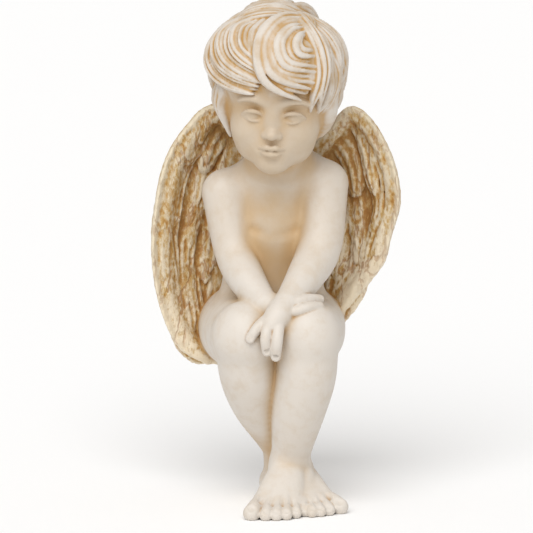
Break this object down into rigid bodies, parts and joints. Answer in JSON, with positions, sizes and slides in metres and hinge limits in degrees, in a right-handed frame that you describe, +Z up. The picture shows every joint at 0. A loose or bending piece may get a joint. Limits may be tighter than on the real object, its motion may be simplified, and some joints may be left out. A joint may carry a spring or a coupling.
{
  "type": "sitting angel statue",
  "caption": "Cast-stone garden statue of a seated cherub with large folded wings, wrists crossed between the knees and ankles crossed, with warm brown patina.",
  "frame": {"origin": "centre of the bounding box at the level of the soles", "axes": "+Z up from the soles to the crown, -Y the way the figure faces, +X towards the figure's left hand"},
  "size_m": [0.1977, 0.1691, 0.4003],
  "materials": {
    "cast_stone": "matt to satin cream cast stone with ochre brown patina in the hollows"
  },
  "bodies": {
    "root": {"angel_figure": "cast_stone"}
  },
  "joints": []
}
